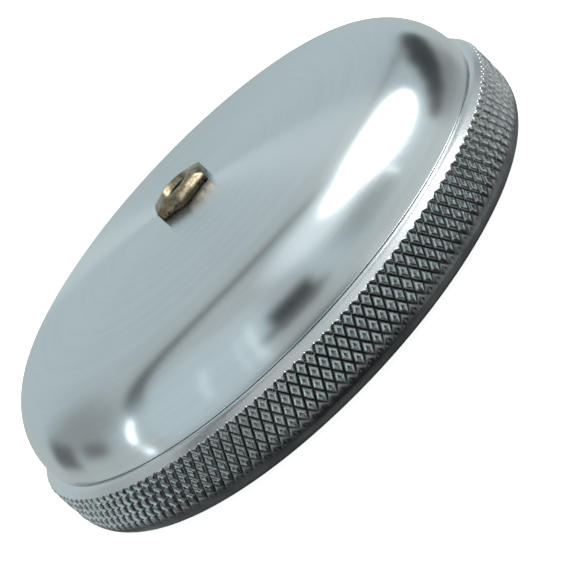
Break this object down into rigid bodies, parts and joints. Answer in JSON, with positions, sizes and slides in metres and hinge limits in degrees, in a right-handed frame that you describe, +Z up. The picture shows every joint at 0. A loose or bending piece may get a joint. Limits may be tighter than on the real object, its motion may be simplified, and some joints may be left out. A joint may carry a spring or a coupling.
{
  "type": "vented breather cap",
  "caption": "Round domed screw cap with a knurled grip ring, a small hexagonal vent valve on its crown, a filter cartridge inside and a bolt-down threaded neck.",
  "frame": {"origin": "on the cap's axis at the underside of the threaded neck, where it sits on the tank or engine cover", "axes": "+Z up along the cap's axis towards the vent; one corner of the vent's hexagon is 10 degrees off -Y towards -X"},
  "size_m": [0.09, 0.09, 0.0289],
  "materials": {
    "dome_alloy": "satin turned aluminium, clear anodised",
    "ring_alloy": "knurled aluminium, machined shoulder",
    "neck_alloy": "machined aluminium",
    "brass": "machined brass",
    "plated_steel": "zinc-plated pressed steel",
    "spring_steel": "oiled spring steel",
    "bright_steel": "polished ball",
    "black_rubber": "moulded rubber",
    "bearing_plastic": "natural acetal",
    "red_fibre": "vulcanised fibre",
    "filter_foam": "open-cell filter foam"
  },
  "bodies": {
    "neck": {"threaded_neck": "neck_alloy", "base_seal_ring": "black_rubber"},
    "cartridge": {"carrier_plate": "plated_steel", "hub_bush": "bearing_plastic", "slip_ring": "bearing_plastic", "neck_gasket": "black_rubber", "filter_foam": "filter_foam", "filter_screen": "plated_steel", "screen_clip": "spring_steel"},
    "cap": {"knurled_ring": "ring_alloy", "dome_seal_ring": "black_rubber", "dome_cover": "dome_alloy", "vent_body": "brass", "vent_fibre_washer": "red_fibre", "vent_lock_nut": "brass", "ball_seat": "black_rubber", "vent_spring": "spring_steel", "vent_plug": "brass", "thrust_washer": "bearing_plastic", "hub_circlip": "spring_steel"},
    "ball": {"check_ball": "bright_steel"}
  },
  "joints": [
    {"name": "cap_lift", "type": "slide", "parent": "neck", "child": "cartridge", "axis": [0, 0, 1], "range_m": [0, 0.00601]},
    {"name": "cap_turn", "type": "hinge", "parent": "cartridge", "child": "cap", "pos_m": [0, 0, 0.008], "axis": [0, 0, 1], "range_deg": [0, 1080]},
    {"name": "valve_ball", "type": "slide", "parent": "cap", "child": "ball", "axis": [0, 0, -1], "range_m": [0, 0.0012], "stiffness_N_per_m": 20, "springref_m": -0.0005, "deforming": ["vent_spring"]}
  ],
  "couplings": [
    {"joint": "cap_lift", "follows": "cap_turn", "m_per_rad": 0.00031831}
  ]
}
